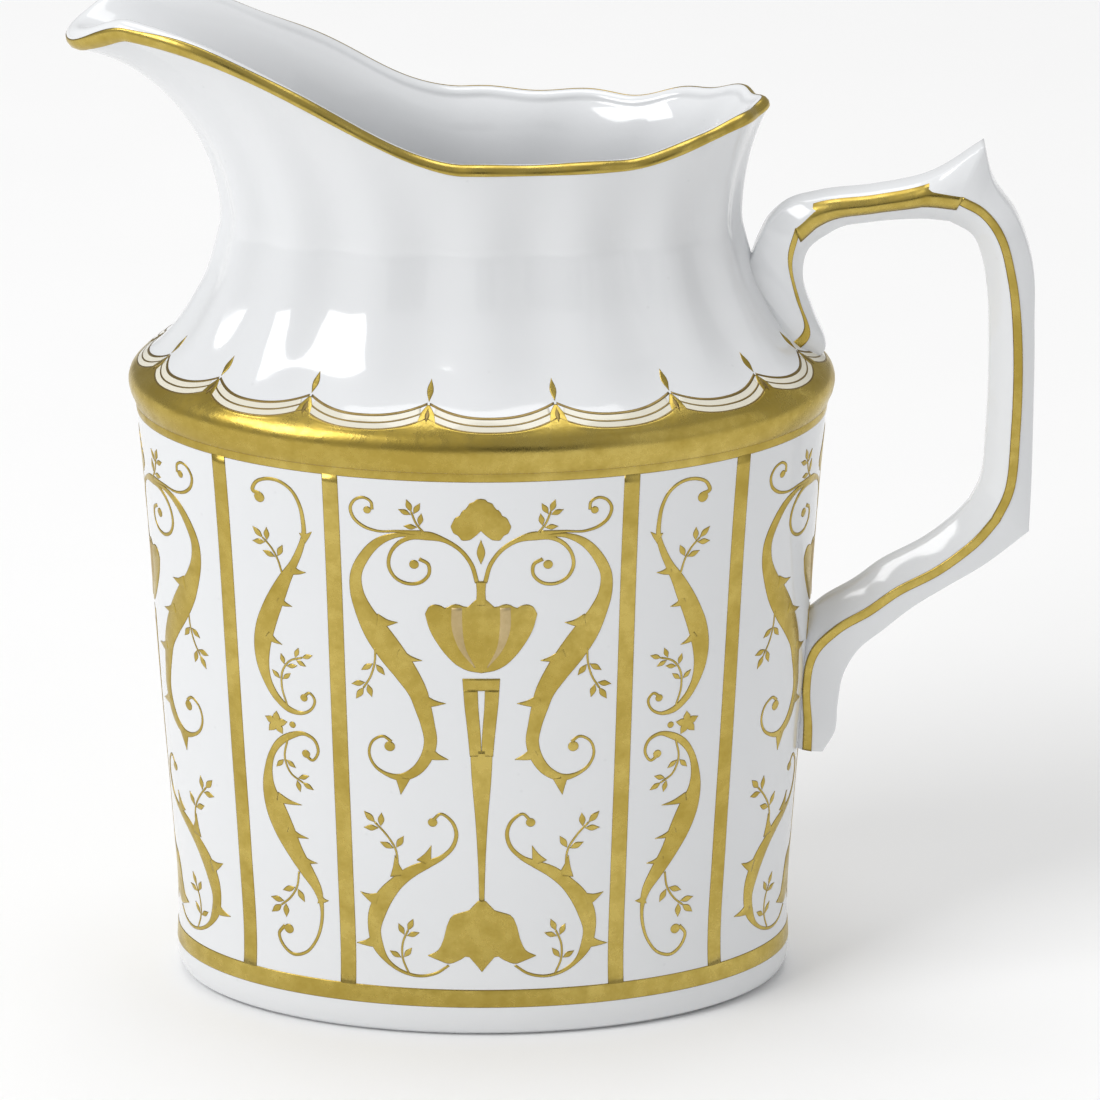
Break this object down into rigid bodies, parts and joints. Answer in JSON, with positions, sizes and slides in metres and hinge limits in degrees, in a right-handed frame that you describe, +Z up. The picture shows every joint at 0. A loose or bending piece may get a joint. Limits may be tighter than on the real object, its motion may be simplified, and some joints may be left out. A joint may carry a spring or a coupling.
{
  "type": "cream jug",
  "caption": "Small oval porcelain cream jug with a long spout, an angular ridged handle and gilded rim, shoulder, foot and panel borders.",
  "frame": {"origin": "centre of the whole jug's box, at the level of the foot it stands on", "axes": "+Z up, +X towards the handle and -X towards the spout, +Y across the jug's depth"},
  "size_m": [0.1102, 0.0502, 0.1179],
  "materials": {
    "porcelain": "clear glossy glaze over white porcelain",
    "gold": "fired gilding, soft polish, worn a little at the edges"
  },
  "bodies": {
    "root": {"body": "porcelain", "handle": "porcelain", "rim_gilding": "gold", "shoulder_gilding": "gold", "foot_gilding": "gold", "thumb_rest_gilding": "gold", "handle_line_front": "gold", "handle_line_back": "gold", "panel_bar_1": "gold", "panel_bar_2": "gold", "panel_bar_3": "gold", "panel_bar_4": "gold", "panel_bar_5": "gold", "panel_bar_6": "gold", "panel_bar_7": "gold", "panel_bar_8": "gold"}
  },
  "joints": []
}
